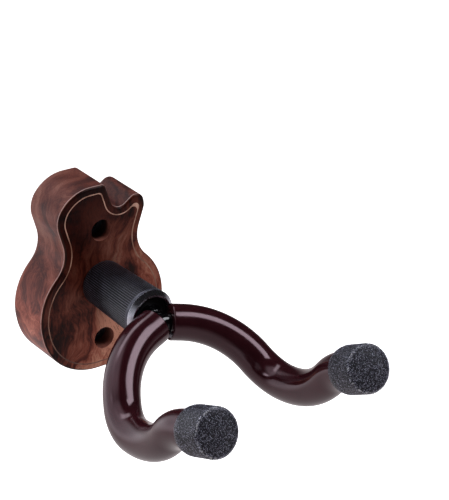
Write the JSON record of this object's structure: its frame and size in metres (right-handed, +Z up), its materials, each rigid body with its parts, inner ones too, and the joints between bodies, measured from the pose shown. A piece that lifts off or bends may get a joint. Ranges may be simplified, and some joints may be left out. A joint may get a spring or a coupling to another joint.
{
  "type": "wall guitar hanger",
  "caption": "Guitar-shaped wooden wall block with a ribbed standoff hub carrying a freely turning padded yoke with two capped arms that cradle a headstock.",
  "frame": {"origin": "centre of the hub's axis on the block's flat wall face", "axes": "+Y points into the wall and the yoke reaches out along -Y; +Z is up; +X is to the right seen from in front"},
  "size_m": [0.1061, 0.1838, 0.0947],
  "materials": {
    "dark_wood": "oiled dark walnut or rosewood, satin",
    "pale_inlay": "pale wood strip, satin",
    "blackened_steel": "blackened, satin",
    "charcoal_sleeve": "matt charcoal, finely ribbed",
    "polished_collar": "black, polished bevel",
    "plain_steel": "zinc plated",
    "black_acetal": "moulded black acetal",
    "nylon": "natural nylon",
    "black_rod": "gloss black coat on steel",
    "plum_pvc": "soft glossy PVC, dark plum brown",
    "pebbled_rubber": "black, pebbled"
  },
  "bodies": {
    "wall_bracket": {"wood_block": "dark_wood", "border_inlay": "pale_inlay", "upper_screw_seat": "blackened_steel", "lower_screw_seat": "blackened_steel", "ribbed_sleeve": "charcoal_sleeve", "bevelled_collar": "polished_collar", "hub_tube": "plain_steel", "front_bush": "black_acetal", "rear_bush": "black_acetal", "clamp_washer": "plain_steel", "clamp_nut": "plain_steel"},
    "yoke": {"yoke_stem": "black_rod", "thrust_washer": "black_acetal", "retaining_washer": "plain_steel", "lock_nut": "plain_steel", "lock_nut_insert": "nylon", "yoke_rod": "black_rod", "weld_bead": "black_rod", "left_arm_tube": "plum_pvc", "right_arm_tube": "plum_pvc", "left_end_cap": "pebbled_rubber", "right_end_cap": "pebbled_rubber"}
  },
  "joints": [
    {"name": "yoke_swivel", "type": "hinge", "parent": "wall_bracket", "child": "yoke", "pos_m": [0, -0.0744, 0], "axis": [0, -1, 0], "continuous": true}
  ]
}
